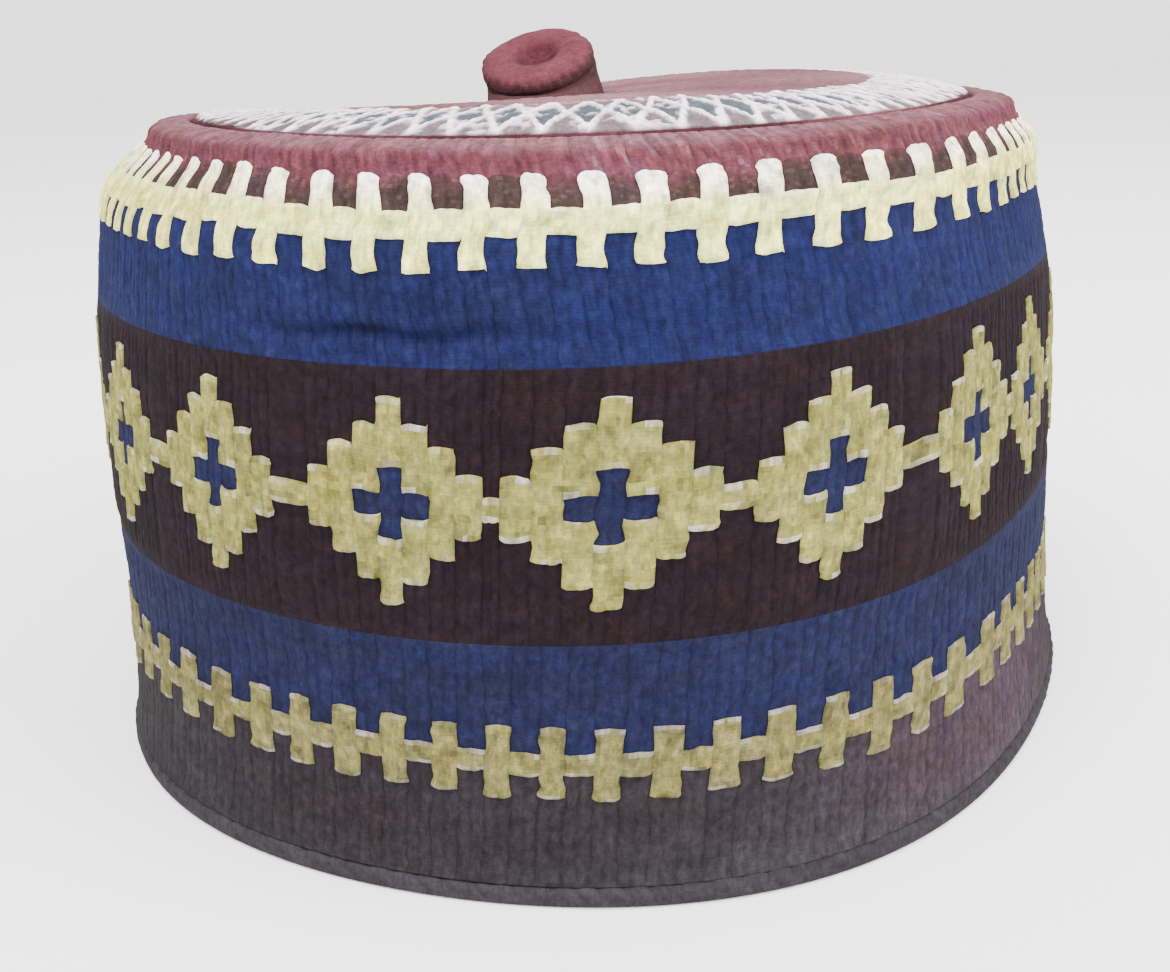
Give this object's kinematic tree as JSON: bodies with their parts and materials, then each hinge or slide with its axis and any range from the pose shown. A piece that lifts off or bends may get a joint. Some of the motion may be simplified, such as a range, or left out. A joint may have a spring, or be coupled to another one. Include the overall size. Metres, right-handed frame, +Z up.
{
  "type": "hausa cap",
  "caption": "Round brimless cap of thick embroidered cloth with a domed top, a rolled button and an open mouth that it stands on.",
  "frame": {"origin": "middle of the outer box in plan, on the surface that the cap stands on", "axes": "+Z up through the middle of the top; -Y is the front, where the middle lozenge faces; +X to the right seen from the front"},
  "size_m": [0.1938, 0.1974, 0.1257],
  "materials": {
    "embroidered_cloth": "dense ribbed hand embroidery in royal blue, dark maroon and cream, matte",
    "top_cloth": "maroon ribbed cloth with a ring of white and grey-blue stitched lozenges, matte",
    "hem_cloth": "folded grey cotton binding, matte",
    "button_cloth": "rolled rose-maroon cloth with a soft nap, matte"
  },
  "bodies": {
    "root": {"side_wall": "embroidered_cloth", "top_panel": "top_cloth", "hem_binding": "hem_cloth", "top_button": "button_cloth"}
  },
  "joints": []
}
